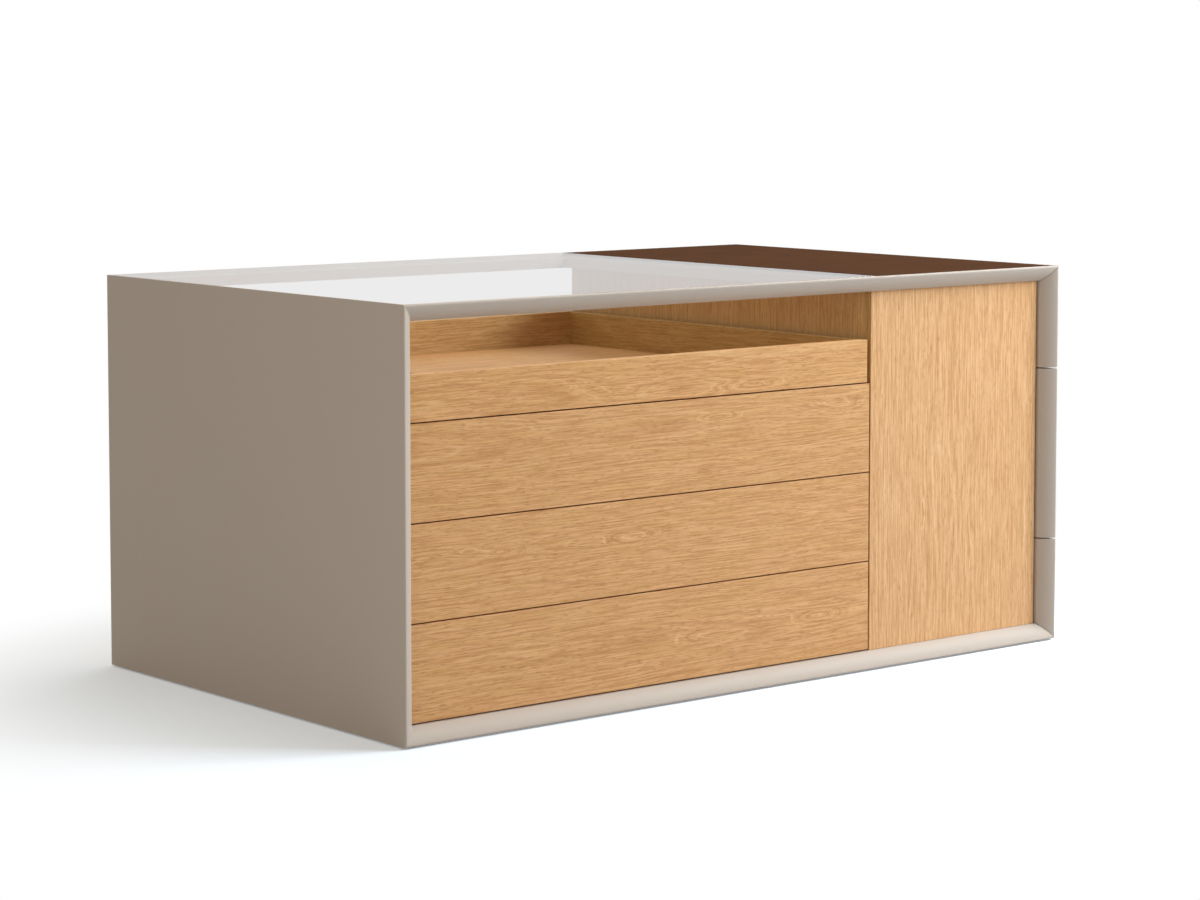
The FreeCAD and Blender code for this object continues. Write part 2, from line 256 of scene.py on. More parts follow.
def edge_profile(inset=0.0, breaks=()):
    """Section of a board's edge, from the outer face over arris and bevel to the inner face.

    Each row is (distance from the outer face, distance behind the front plane). The arris is
    an arc of a circle that touches the outer face and turns by a right angle and the bevel's
    start angle. The bevel is an arc that goes on along the arris's tangent: a point at the
    angle a lies off its start by the radius times (sin a - sin start, cos start - cos a), and
    the radius is the chord over twice the sine of (chord's slope - start). With an inset both
    radii are less by it, about the same centres. breaks are distances that get a row of their
    own. The first row holds the flat outer face apart from the arris.
    """
    sizes = bpy.context.scene.island_sizes
    arris, start = sizes.arris, sizes.bevel_start
    turn = np.linspace(0.0, math.pi / 2 + start, ARRIS_POINTS)
    small = arris - inset
    arc = np.column_stack((arris - small * np.cos(turn), arris - small * np.sin(turn)))
    foot = np.array((arris + arris * math.sin(start), arris - arris * math.cos(start)))
    run, rise = BOARD - foot[0], RECESS - foot[1]
    slope = math.atan2(rise, run)
    radius = math.hypot(run, rise) / (2 * math.sin(slope - start))
    centre = foot + radius * np.array((-math.sin(start), math.cos(start)))
    last = math.asin((BOARD - inset - centre[0]) / (radius - inset))
    angle = np.linspace(start, last, BEVEL_POINTS)[1:]
    bevel = centre + (radius - inset) * np.column_stack((np.sin(angle), -np.cos(angle)))
    rows = np.concatenate(([[inset, arris + FLAT_ROW]], arc, bevel))
    for at in breaks:
        place = np.searchsorted(rows[:, 0], at)
        rows = np.insert(rows, place, (at, np.interp(at, rows[:, 0], rows[:, 1])), axis=0)
    return rows


def board_loop(place, along, profile):
    """Closed section of a frame board: front edge from outer to inner face, then rear edge back.

    The rear edge is the front one mirrored in depth. place turns (inward, depth, along) into a
    point. along is one place along the board for each row of the profile, so that an end can
    be square or mitred.
    """
    inward, behind = profile[:, 0], profile[:, 1]
    front_line = place(inward, FRONT + behind, along)
    rear_line = place(inward, REAR - behind, along)
    return np.concatenate((front_line, rear_line[::-1]))


def on_left(inward, depth, along):
    """Points of the left side: x is its outer face plus inward, y the depth, z along."""
    return np.stack(np.broadcast_arrays(LEFT + inward, depth, along), axis=-1)


def on_right(inward, depth, along):
    """Points of the right side: x is its outer face less inward, y the depth, z along."""
    return np.stack(np.broadcast_arrays(RIGHT - inward, depth, along), axis=-1)


def on_top(inward, depth, along):
    """Points of the top: x is along, y the depth, z its upper face less inward."""
    return np.stack(np.broadcast_arrays(along, depth, HEIGHT - inward), axis=-1)


def on_bottom(inward, depth, along):
    """Points of the bottom: x is along, y the depth, z its lower face plus inward."""
    return np.stack(np.broadcast_arrays(along, depth, FRAME_FOOT + inward), axis=-1)


def rebate_in_mitre(place, profile, along, lip, deep, inner_edge=()):
    """Faces of a mitred end whose plane the rebate for the pane crosses, and their new corners.

    The mitre is at 45 degrees, so it is crossed where the distance from the outer face is
    between the lip's width and the rebate's depth. The rest of the end is two flat faces, one
    on each side, and a strip at the front and at the rear. inner_edge holds points on the
    board's inner edge, from front to rear.
    """
    half = REAR - lip
    rows = len(profile)
    at_lip = int(np.flatnonzero(np.isclose(profile[:, 0], lip))[0])
    at_deep = int(np.flatnonzero(np.isclose(profile[:, 0], deep))[0])
    loop = board_loop(place, along, profile)
    upper = [place(lip, side * half, along[at_lip]) for side in (-1, 1)]
    lower = [place(deep, side * half, along[at_deep]) for side in (-1, 1)]
    faces = [
        np.vstack((loop[:at_lip + 1], *upper, loop[-at_lip - 1:])),
        np.vstack((loop[at_lip:at_deep + 1], lower[0], upper[0])),
        np.vstack((loop[-at_deep - 1:-at_lip], upper[1], lower[1])),
        np.vstack((lower[0], loop[at_deep:rows], *inner_edge, loop[rows:-at_deep], lower[1])),
    ]
    return faces, upper, lower


def top_faces(profile, lip, deep):
    """Faces of the top board: its edges, rim, rebate, pocket and the opening under the pane.

    From left to right the flat faces end at five lines: the lip's inner edge, the opening's
    left and right walls, the step from the rebate up to the pocket, and the pocket's wall.
    """
    rows = len(profile)
    inward = profile[:, 0]
    half = REAR - lip
    under = HEIGHT - BOARD
    pocket = INLAY_LOW.z
    wall = LEFT + lip
    step = GLASS_HIGH.x + GLASS_PLAY
    far = INLAY_HIGH.x + INLAY_PLAY
    opening = (LEFT + OPENING_MARGIN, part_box("divider")[0].x - CROSS_LIP)
    open_half = REAR - OPENING_MARGIN

    low = board_loop(on_top, LEFT + inward, profile)
    high = board_loop(on_top, RIGHT - MITRE_SETBACK - inward, profile)
    edges = np.delete(loft(np.stack((low, high))), (rows - 1, 2 * rows - 1), axis=0)
    foot = [(opening[0], side * open_half, under) for side in (-1, 1)]
    end, upper, lower = rebate_in_mitre(on_top, profile, LEFT + inward, lip, deep, foot)
    faces = [edges, high, *end]
    for i, side in enumerate((-1, 1)):
        y = side * half
        open_y = side * open_half
        ledge = [(x, open_y, REBATE_FLOOR) for x in opening]
        below = [(x, open_y, under) for x in opening]
        outer = (0, 2 * rows - 1)[i]
        inner = (rows - 1, rows)[i]
        faces += [
            (low[outer], high[outer], (far, y, HEIGHT), (step, y, HEIGHT), (wall, y, HEIGHT)),
            ((wall, y, HEIGHT), (step, y, HEIGHT), (step, y, pocket), (step, y, REBATE_FLOOR),
             lower[i], upper[i]),
            ((step, y, HEIGHT), (far, y, HEIGHT), (far, y, pocket), (step, y, pocket)),
            (lower[i], (step, y, REBATE_FLOOR), ledge[1], ledge[0]),
            (*ledge, below[1], below[0]),
            (low[inner], high[inner], below[1], below[0]),
        ]

    def across(x, z, x_next, z_next, y=half, y_next=half):
        """Face between two lines along the depth."""
        return (x, -y, z), (x, y, z), (x_next, y_next, z_next), (x_next, -y_next, z_next)

    faces += [
        (low[0], low[-1], (wall, half, HEIGHT), (wall, -half, HEIGHT)),
        (high[0], high[-1], (far, half, HEIGHT), (far, -half, HEIGHT)),
        across(wall, HEIGHT, wall, HEIGHT - lip),
        across(far, HEIGHT, far, pocket),
        across(step, pocket, far, pocket),
        across(step, pocket, step, REBATE_FLOOR),
        across(LEFT + deep, REBATE_FLOOR, opening[0], REBATE_FLOOR, y_next=open_half),
        across(step, REBATE_FLOOR, opening[1], REBATE_FLOOR, y_next=open_half),
        across(opening[0], REBATE_FLOOR, opening[0], under, open_half, open_half),
        across(opening[1], REBATE_FLOOR, opening[1], under, open_half, open_half),
        (high[rows - 1], high[rows], (opening[1], open_half, under),
         (opening[1], -open_half, under)),
    ]
    return faces


def rounded_rectangle(low, high, radius, inset, z):
    """Loop of points round a rectangle with round corners, at one height, drawn in by inset.

    Each corner is a quarter circle of the radius less the inset about a fixed centre.
    """
    turn = np.linspace(0.0, math.pi / 2, CORNER_POINTS)
    centres = ((high[0] - radius, high[1] - radius), (low[0] + radius, high[1] - radius),
               (low[0] + radius, low[1] + radius), (high[0] - radius, low[1] + radius))
    angle = (np.arange(4)[:, None] * math.pi / 2 + turn).ravel()
    middle = np.repeat(centres, CORNER_POINTS, axis=0)
    spoke = (radius - inset) * np.column_stack((np.cos(angle), np.sin(angle)))
    return np.column_stack((middle + spoke, np.full(len(angle), z)))


# Materials

def add(tree, kind, inputs=(), **settings):
    """Node of a kind with its settings; inputs maps a socket to a value or to what feeds it."""
    node = tree.nodes.new(kind)
    for name, value in settings.items():
        setattr(node, name, value)
    for key, value in dict(inputs).items():
        if isinstance(value, bpy.types.Node):
            tree.links.new(value.outputs[0], node.inputs[key])
        elif isinstance(value, bpy.types.NodeSocket):
            tree.links.new(value, node.inputs[key])
        else:
            node.inputs[key].default_value = value
    return node


def blank_material(name):
    """Material of this name with an empty node tree, and the tree."""
    material = bpy.data.materials.get(name) or bpy.data.materials.new(name)
    material.use_nodes = True
    material.node_tree.nodes.clear()
    return material, material.node_tree


def lacquer_material():
    """Matt sprayed lacquer on fibreboard.

    Sprayed in several coats and rubbed down: an even colour, a wide soft sheen and a very
    faint unevenness of 2 to 3 mm that only shows at a grazing angle.
    """
    material, tree = blank_material("matt_taupe_lacquer")
    place = add(tree, "ShaderNodeTexCoord").outputs["Object"]
    spray = add(tree, "ShaderNodeTexNoise",
                {"Vector": place, "Scale": 1 / (2.6 * MM), "Detail": 1.0})
    cloud = add(tree, "ShaderNodeTexNoise",
                {"Vector": place, "Scale": 1 / (240 * MM), "Detail": 2.0})
    tone, sheen = (
        add(tree, "ShaderNodeMapRange", {"Value": cloud, "From Min": 0.3, "From Max": 0.7,
                                         "To Min": least, "To Max": most})
        for least, most in ((0.985, 1.015), (0.47, 0.53)))
    shade = add(tree, "ShaderNodeMix",
                {"Factor": 1.0, "A": bpy.context.scene.island_colours.lacquer, "B": tone},
                data_type="RGBA", blend_type="MULTIPLY")
    bump = add(tree, "ShaderNodeBump",
               {"Height": spray, "Strength": 0.12, "Distance": 0.05 * MM})
    surface = add(tree, "ShaderNodeBsdfPrincipled",
                  {"Base Color": shade.outputs["Result"], "Roughness": sheen, "Normal": bump,
                   "IOR": 1.5})
    add(tree, "ShaderNodeOutputMaterial", {"Surface": surface})
    return material


# Turns object coordinates into (along the grain, across it, into the board)
GRAIN = {
    "level": Euler((-math.pi / 2, 0.0, 0.0)),
    "upright": Euler((math.pi / 2, 0.0, math.pi / 2)),
    "inward": Euler((0.0, -math.pi / 2, -math.pi / 2)),
    "flat": Euler((0.0, 0.0, 0.0)),
    "flat_inward": Euler((0.0, 0.0, -math.pi / 2)),
}

# Oak, in millimetres: mean width of a year ring, how deep an eye is and how far it lifts the
# cut, what the bends in the grain come to on average, and how thin the skin is that tells a
# board's long edges, where a painted shade may go, from its faces
RING_WIDTH = 3.4
EYE_DEPTH = 200.0
EYE_LIFT = 6.0
MEAN_ACROSS = 17.0
MEAN_INWARD = 12.0
SHADED_EDGE_SKIN = 0.1


def oak_material(node, grain, heart, radius, shift, tilt=0.010, rings=1.0, sway=1.0, clouds=1.0,
                 tone_and_shade=(1.0, 1.0, 1.0), edge=None, eyes=()):
    """Oak veneer with a matt oil finish, sliced lengthwise and pressed on board.

    The year rings are circles round the pith: the distance from it is the root of the
    squares of the place across the grain and the depth. The depth changes slowly along the
    grain by the tilt and by a long noise, which closes the rings into the pointed figure of a
    flat cut, and each eye raises it by a cone over an ellipse. Fibres and pores lie along
    the bent grain, so their noise is stretched. heart is where the figure's middle lies off
    the board's middle, radius how far the face is from the pith, and shift slides the cut
    along the tree. An eye is its place along and across from the board's middle, its length
    and its height. All are in millimetres. rings, sway and clouds are the strength of the
    rings, of the bends in the grain and of the patches of colour. tint is the leaf's own tone,
    which for the pieces inside the display space also holds a painted shade. edge, where it
    is given, is a painted shade on the two long edges, for the dark line in the gaps there.
    """
    material, tree = blank_material("oiled_oak_" + node)
    colours = bpy.context.scene.island_colours
    low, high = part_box(node)
    turn = GRAIN[grain]
    cut = Vector((shift, -heart - MEAN_ACROSS * sway, radius - MEAN_INWARD * sway)) * MM
    place = add(tree, "ShaderNodeMapping",
                {"Vector": add(tree, "ShaderNodeTexCoord").outputs["Object"], "Rotation": turn,
                 "Location": cut - turn.to_matrix() @ ((low + high) / 2)})
    values = dict(zip(("along", "across", "inward"),
                      add(tree, "ShaderNodeSeparateXYZ", {0: place}).outputs))
    # The leaf's tone, which for the pieces inside the display space also holds a painted shade
    tone = (*tone_and_shade, 1.0)
    # Painted shade: where an edge tone is given, the two long edges get it, for the dark line in
    # the gap beside them
    if edge is not None:
        width = abs((turn.to_matrix() @ (high - low)).y)
        face = add(tree, "ShaderNodeMath",
                   {0: values["across"], 1: cut.y, 2: width / 2 - SHADED_EDGE_SKIN * MM},
                   operation="COMPARE")
        tone = add(tree, "ShaderNodeMix", {"Factor": face, "A": (*edge, 1.0), "B": tone},
                   data_type="RGBA").outputs["Result"]
    bent = add(tree, "ShaderNodeCombineXYZ", {0: values["along"]})
    values["growth"] = add(tree, "ShaderNodeTexNoise", {"Scale": 1 / (11 * MM), "Detail": 1.0},
                           noise_dimensions="1D")

    values["eyes"] = 0.0
    for along, across, length, height in eyes:
        half = Vector((length, height, EYE_DEPTH)) / 2 * MM
        centre = cut + Vector((along, across, 0)) * MM
        near = add(tree, "ShaderNodeMapping",
                   {"Vector": place, "Scale": [1 / size for size in half],
                    "Location": [-offset / size for offset, size in zip(centre, half)]})
        cone = add(tree, "ShaderNodeTexGradient", {"Vector": near}, gradient_type="SPHERICAL")
        values["eyes"] = add(tree, "ShaderNodeMath", {0: cone.outputs["Fac"], 1: values["eyes"]},
                             operation="ADD")

    # Size of each noise along, across and into the board in millimetres. Fibres are 0.1 mm
    # wide and pores 0.3 mm in the wood, and are drawn 2 to 3 mm wide so that they show
    for key, source, size, detail, rough in (
            ("wander", place, (520, 70, 70), 2.0, 0.5),
            ("ripple", place, (110, 15, 15), 2.0, 0.5),
            ("bulge", place, (300, 90, 90), 1.0, 0.5),
            ("veil", place, (240, 45, 45), 1.0, 0.5),
            ("patch", bent, (300, 10, 10), 2.0, 0.6),
            ("yellow", bent, (150, 22, 22), 2.0, 0.5),
            ("grain", bent, (90, 3.2, 3.2), 2.0, 0.8),
            ("pore", bent, (17, 1.9, 1.9), 1.0, 0.5)):
        stretch = add(tree, "ShaderNodeVectorMath",
                      {0: source, 1: [1 / (length * MM) for length in size]}, operation="MULTIPLY")
        values[key] = add(tree, "ShaderNodeTexNoise",
                          {"Vector": stretch, "Scale": 1.0, "Detail": detail, "Roughness": rough})

    # Bent grain, distance from the pith, and the place within a ring from 0 to a half and back
    for key, operation, *inputs in (
            ("across", "MULTIPLY_ADD", "wander", 30 * sway * MM, "across"),
            ("across", "MULTIPLY_ADD", "ripple", 3.5 * sway * MM, "across"),
            ("inward", "MULTIPLY_ADD", "along", tilt, "inward"),
            ("inward", "MULTIPLY_ADD", "bulge", 22 * sway * MM, "inward"),
            ("inward", "MULTIPLY_ADD", "ripple", 4 * sway * MM, "inward"),
            ("inward", "MULTIPLY_ADD", "eyes", EYE_LIFT * MM, "inward"),
            ("pith", "MULTIPLY", "across", "across"),
            ("pith", "MULTIPLY_ADD", "inward", "inward", "pith"),
            ("pith", "SQRT", "pith"),
            ("years", "DIVIDE", "pith", RING_WIDTH * MM),
            ("years", "MULTIPLY_ADD", "growth", 2.4, "years"),
            ("ring", "PINGPONG", "years", 0.5),
            ("veil", "MULTIPLY_ADD", "eyes", 0.35, "veil")):
        values[key] = add(tree, "ShaderNodeMath",
                          {i: values.get(item, item) for i, item in enumerate(inputs)},
                          operation=operation)
    tree.links.new(values["across"].outputs[0], bent.inputs[1])
    tree.links.new(values["inward"].outputs[0], bent.inputs[2])
    tree.links.new(values["pith"].outputs[0], values["growth"].inputs["W"])

    # Shares of each colour: the rings show more in some parts, each as a dark line beside a
    # pale one, and broad patches are deeper, yellower or rosier than the rest
    for key, source, start, stop, first, last in (
            ("drawn", "veil", 0.38, 0.78, 0.16 * rings, 0.60 * rings),
            ("early", "ring", 0.0, 0.14, "drawn", 0.0),
            ("late", "ring", 0.5, 0.40, "drawn", 0.0),
            ("shade", "grain", 0.33, 0.67, -0.3, 1.3),
            ("deeper", "patch", 0.35, 0.70, 0.0, 0.27 * clouds),
            ("yellower", "yellow", 0.42, 0.68, 0.0, 0.24 * clouds),
            ("rosier", "yellow", 0.52, 0.32, 0.0, 0.06 * clouds),
            ("pores", "pore", 0.58, 0.70, 0.0, 0.42),
            ("matt", "grain", 0.35, 0.65, 0.47, 0.60)):
        values[key] = add(tree, "ShaderNodeMapRange",
                          {"Value": values[source], "From Min": start, "From Max": stop,
                           "To Min": values.get(first, first), "To Max": last})
    wood = colours.oak_pale
    for key, colour in (("shade", colours.oak_dark), ("deeper", colours.oak_dark),
                        ("yellower", linear("#D1A965")), ("rosier", linear("#DEA47B")),
                        ("early", linear("#AE7B49")), ("late", linear("#EBC897")),
                        ("pores", colours.oak_pore)):
        wood = add(tree, "ShaderNodeMix", {"Factor": values[key], "A": wood, "B": colour},
                   data_type="RGBA").outputs["Result"]
    toned = add(tree, "ShaderNodeMix", {"Factor": 1.0, "A": wood, "B": tone},
                data_type="RGBA", blend_type="MULTIPLY")
    height = add(tree, "ShaderNodeMath", {0: values["pores"], 1: -1.5, 2: values["grain"]},
                 operation="MULTIPLY_ADD")
    bump = add(tree, "ShaderNodeBump",
               {"Height": height, "Strength": 0.15, "Distance": 0.12 * MM})
    surface = add(tree, "ShaderNodeBsdfPrincipled",
                  {"Base Color": toned.outputs["Result"], "Roughness": values["matt"],
                   "Normal": bump, "IOR": 1.48})
    add(tree, "ShaderNodeOutputMaterial", {"Surface": surface})
    return material


def leather_material():
    """Aniline-dyed full-grain leather, glued over board.

    Dyed through and left without a thick finish: dark, very matt, with a fine pebbled grain
    of about 1 mm and a little cloudiness from the hide.
    """
    material, tree = blank_material("brown_full_grain_leather")
    place = add(tree, "ShaderNodeTexCoord").outputs["Object"]
    bend = add(tree, "ShaderNodeTexNoise",
               {"Vector": place, "Scale": 1 / (4 * MM), "Detail": 2.0})
    sway = add(tree, "ShaderNodeVectorMath",
               {0: bend.outputs["Color"], 1: (0.8 * MM, 0.8 * MM, 0.8 * MM), 2: place},
               operation="MULTIPLY_ADD")
    pebble = add(tree, "ShaderNodeTexVoronoi", {"Vector": sway, "Scale": 1 / (1.3 * MM)},
                 feature="SMOOTH_F1")
    crease = add(tree, "ShaderNodeMapRange",
                 {"Value": pebble.outputs["Distance"], "From Min": 0.25, "From Max": 0.75})
    cloud = add(tree, "ShaderNodeTexNoise",
                {"Vector": place, "Scale": 1 / (60 * MM), "Detail": 4.0})
    tone = add(tree, "ShaderNodeMapRange", {"Value": cloud, "From Min": 0.3, "From Max": 0.7,
                                            "To Min": 0.9, "To Max": 1.1})
    clouded = add(tree, "ShaderNodeMix",
                  {"Factor": 1.0, "A": bpy.context.scene.island_colours.leather, "B": tone},
                  data_type="RGBA", blend_type="MULTIPLY")
    share = add(tree, "ShaderNodeMath", {0: crease, 1: 0.35}, operation="MULTIPLY")
    creased = add(tree, "ShaderNodeMix",
                  {"Factor": share, "A": clouded.outputs["Result"], "B": linear("#2A1A12")},
                  data_type="RGBA")
    bump = add(tree, "ShaderNodeBump",
               {"Height": crease, "Strength": 0.4, "Distance": 0.12 * MM}, invert=True)
    surface = add(tree, "ShaderNodeBsdfPrincipled",
                  {"Base Color": creased.outputs["Result"], "Roughness": 0.9, "Normal": bump,
                   "IOR": 1.45, "Specular IOR Level": 0.03})
    add(tree, "ShaderNodeOutputMaterial", {"Surface": surface})
    return material


def glass_material():
    """Float glass, polished, with ground edges.

    Clear and mirror-smooth; seen at a low angle it mostly mirrors the bright room. Only the
    faces that are met from outside mirror, so that light passes straight through the pane,
    and lamps shine through it on what lies below.
    """
    material, tree = blank_material("clear_float_glass")
    side = add(tree, "ShaderNodeNewGeometry")
    fresnel = add(tree, "ShaderNodeFresnel", {"IOR": 1.5})
    outside = add(tree, "ShaderNodeMath", {0: 1.0, 1: side.outputs["Backfacing"]},
                  operation="SUBTRACT")
    share = add(tree, "ShaderNodeMath", {0: fresnel, 1: outside}, operation="MULTIPLY")
    through = add(tree, "ShaderNodeBsdfTransparent", {"Color": linear("#FAFAFA")})
    mirror = add(tree, "ShaderNodeBsdfGlossy", {"Color": WHITE, "Roughness": 0.0})
    both = add(tree, "ShaderNodeMixShader", {0: share, 1: through, 2: mirror})
    add(tree, "ShaderNodeOutputMaterial", {"Surface": both})
    return material


def pad_material():
    """Clear silicone, moulded: milky, soft and a little shiny."""
    material, tree = blank_material("clear_silicone")
    place = add(tree, "ShaderNodeTexCoord").outputs["Object"]
    cloud = add(tree, "ShaderNodeTexNoise",
                {"Vector": place, "Scale": 1 / (3 * MM), "Detail": 2.0})
    matt = add(tree, "ShaderNodeMapRange", {"Value": cloud, "To Min": 0.2, "To Max": 0.4})
    surface = add(tree, "ShaderNodeBsdfPrincipled",
                  {"Base Color": linear("#EEF0F0"), "Roughness": matt, "IOR": 1.41,
                   "Transmission Weight": 0.6})
    add(tree, "ShaderNodeOutputMaterial", {"Surface": surface})
    return material


def steel_material():
    """Cold-rolled steel strip, bent and zinc-plated.

    The rolls leave fine lines along the strip, and the plating is bright with faint clouds.
    """
    material, tree = blank_material("zinc_plated_steel")
    place = add(tree, "ShaderNodeTexCoord").outputs["Object"]
    cloud = add(tree, "ShaderNodeTexNoise",
                {"Vector": place, "Scale": 1 / (14 * MM), "Detail": 4.0})
    tone, matt = (
        add(tree, "ShaderNodeMapRange", {"Value": cloud, "To Min": least, "To Max": most})
        for least, most in ((0.86, 1.08), (0.26, 0.42)))
    shade = add(tree, "ShaderNodeMix",
                {"Factor": 1.0, "A": bpy.context.scene.island_colours.steel, "B": tone},
                data_type="RGBA", blend_type="MULTIPLY")
    stretch = add(tree, "ShaderNodeVectorMath",
                  {0: place, 1: (1 / (125 * MM), 1 / (125 * MM), 1 / (0.4 * MM))},
                  operation="MULTIPLY")
    lines = add(tree, "ShaderNodeTexNoise", {"Vector": stretch, "Scale": 1.0, "Detail": 2.0})
    bump = add(tree, "ShaderNodeBump", {"Height": lines, "Strength": 0.2, "Distance": 0.03 * MM})
    surface = add(tree, "ShaderNodeBsdfPrincipled",
                  {"Base Color": shade.outputs["Result"], "Roughness": matt, "Metallic": 1.0,
                   "Normal": bump})
    add(tree, "ShaderNodeOutputMaterial", {"Surface": surface})
    return material


def nylon_material():
    """Moulded black nylon: dull, with a fine spark-eroded texture."""
    material, tree = blank_material("black_nylon")
    place = add(tree, "ShaderNodeTexCoord").outputs["Object"]
    grit = add(tree, "ShaderNodeTexNoise",
               {"Vector": place, "Scale": 1 / (0.5 * MM), "Detail": 2.0})
    matt = add(tree, "ShaderNodeMapRange", {"Value": grit, "To Min": 0.45, "To Max": 0.65})
    bump = add(tree, "ShaderNodeBump", {"Height": grit, "Strength": 0.3, "Distance": 0.05 * MM})
    surface = add(tree, "ShaderNodeBsdfPrincipled",
                  {"Base Color": linear("#1C1C1D"), "Roughness": matt, "Normal": bump,
                   "IOR": 1.53})
    add(tree, "ShaderNodeOutputMaterial", {"Surface": surface})
    return material


def floor_material():
    """Painted studio floor, rolled on and matt.

    Pale grey as a source of light. To the eye it is white, with the shadow near the island,
    and plain white from where the shadow has faded out.
    """
    material, tree = blank_material("white_painted_floor")
    plain = add(tree, "ShaderNodeBsdfDiffuse", {"Color": linear("#C4C4C4")})
    shaded = add(tree, "ShaderNodeBsdfDiffuse", {"Color": linear("#F0FAFF")})
    lift = add(tree, "ShaderNodeEmission", {"Color": linear("#F7F9FF"), "Strength": 0.24})
    near = add(tree, "ShaderNodeAddShader", {0: shaded, 1: lift})
    beyond = add(tree, "ShaderNodeEmission", {"Color": WHITE, "Strength": 1.0})
    place = add(tree, "ShaderNodeTexCoord").outputs["Object"]
    oval = add(tree, "ShaderNodeVectorMath", {0: place, 1: SHADOW_OVAL}, operation="MULTIPLY")
    away = add(tree, "ShaderNodeVectorMath", {0: oval}, operation="LENGTH")
    fade = add(tree, "ShaderNodeMapRange",
               {"Value": away.outputs["Value"], "From Min": FADE_START, "From Max": FADE_END},
               interpolation_type="SMOOTHSTEP")
    white = add(tree, "ShaderNodeMixShader", {0: fade, 1: near, 2: beyond})
    rays = add(tree, "ShaderNodeLightPath").outputs
    seen = add(tree, "ShaderNodeMath", {0: rays["Is Camera Ray"], 1: rays["Is Glossy Ray"]},
               operation="MAXIMUM")
    shown = add(tree, "ShaderNodeMath", {0: seen, 1: rays["Is Transmission Ray"]},
                operation="MAXIMUM")
    both = add(tree, "ShaderNodeMixShader", {0: shown, 1: plain, 2: white})
    add(tree, "ShaderNodeOutputMaterial", {"Surface": both})
    return material


def white_room(ambient):
    """World: white where it is seen, less where it is mirrored, and soft warm light elsewhere."""
    world = bpy.data.worlds.get("studio_world") or bpy.data.worlds.new("studio_world")
    world.use_nodes = True
    tree = world.node_tree
    tree.nodes.clear()
    rays = add(tree, "ShaderNodeLightPath").outputs
    soft, mirrored, white = (
        add(tree, "ShaderNodeBackground", {"Color": colour, "Strength": strength})
        for colour, strength in ((linear("#FFF0DE"), ambient), (WHITE, 0.8), (WHITE, 1.0)))
    room = add(tree, "ShaderNodeMixShader", {0: rays["Is Glossy Ray"], 1: soft, 2: mirrored})
    seen = add(tree, "ShaderNodeMath", {0: rays["Is Camera Ray"], 1: rays["Is Transmission Ray"]},
               operation="MAXIMUM")
    both = add(tree, "ShaderNodeMixShader", {0: seen, 1: room, 2: white})
    add(tree, "ShaderNodeOutputWorld", {"Surface": both})
    return world


def dress(nodes, material):
    """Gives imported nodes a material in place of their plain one."""
    for name in nodes:
        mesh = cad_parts[name].data
        mesh.materials.clear()
        mesh.materials.append(material)


# Operators

class ISLAND_OT_frame(bpy.types.Operator):
    """Builds the lacquered left side, bottom and top, mitred to each other"""
    bl_idname = "island.frame"
    bl_label = "Lacquered frame"

    def execute(self, context):
        lacquer = lacquer_material()
        lip = GLASS_LOW.x - GLASS_PLAY - LEFT
        deep = HEIGHT - REBATE_FLOOR
        half = REAR - lip
        profile = edge_profile(breaks=(lip, deep))
        inward = profile[:, 0]

        # Left side: mitred at both ends, with the rebate's edge in the upper mitre
        low = board_loop(on_left, FRAME_FOOT + inward, profile)
        high = board_loop(on_left, HEIGHT - inward, profile)
        end, upper, lower = rebate_in_mitre(on_left, profile, HEIGHT - inward, lip, deep)
        floor = [np.array((LEFT + lip, side * half, REBATE_FLOOR)) for side in (-1, 1)]
        build_piece("left_side", [
            loft(np.stack((low, high))),
            low,
            *end,
            (*upper, floor[1], floor[0]),
            (*floor, lower[1], lower[0]),
            (upper[0], lower[0], floor[0]),
            (upper[1], lower[1], floor[1]),
        ], lacquer, "side_panel_left", "carcass")

        # Bottom: mitred to the left side and, with a gap, to the lowest end drawer front
        plain = edge_profile()
        low = board_loop(on_bottom, LEFT + plain[:, 0], plain)
        high = board_loop(on_bottom, RIGHT - MITRE_SETBACK - plain[:, 0], plain)
        build_piece("bottom", [loft(np.stack((low, high))), low, high],
                    lacquer, "bottom_board", "carcass")

        build_piece("top", top_faces(profile, lip, deep), lacquer, "top_board",
                    "carcass")
        return {"FINISHED"}


class ISLAND_OT_end_fronts(bpy.types.Operator):
    """Builds the three lacquered end drawer fronts, which are the frame's right side"""
    bl_idname = "island.end_fronts"
    bl_label = "End drawer fronts"

    def execute(self, context):
        lacquer = lacquer_material()
        rounding = context.scene.island_sizes.seam_edge
        plain = edge_profile()
        turn = np.linspace(0.0, math.pi / 2, SEAM_POINTS)
        for number in (1, 2, 3):
            node = "end_drawer_%d_front" % number
            low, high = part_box(node)
            loops = []
            for at, sense in ((low.z, 1), (high.z, -1)):
                mitred = (number == 1 and sense > 0) or (number == 3 and sense < 0)
                if mitred:
                    stations = [board_loop(on_right, at + sense * plain[:, 0], plain)]
                else:
                    stations = []
                    for angle in turn:
                        section = edge_profile(inset=rounding * (1 - math.sin(angle)))
                        along = at + sense * rounding * (1 - math.cos(angle))
                        stations.append(board_loop(on_right, np.full(len(section), along), section))
                    stations.append(stations[-1] + np.array((0, 0, sense * FLAT_ROW)))
                loops.extend(stations if sense > 0 else stations[::-1])
            build_piece("end_front_%d" % number, [loft(np.stack(loops)), loops[0], loops[-1]],
                        lacquer, node, "end_drawer_%d" % number)
        return {"FINISHED"}


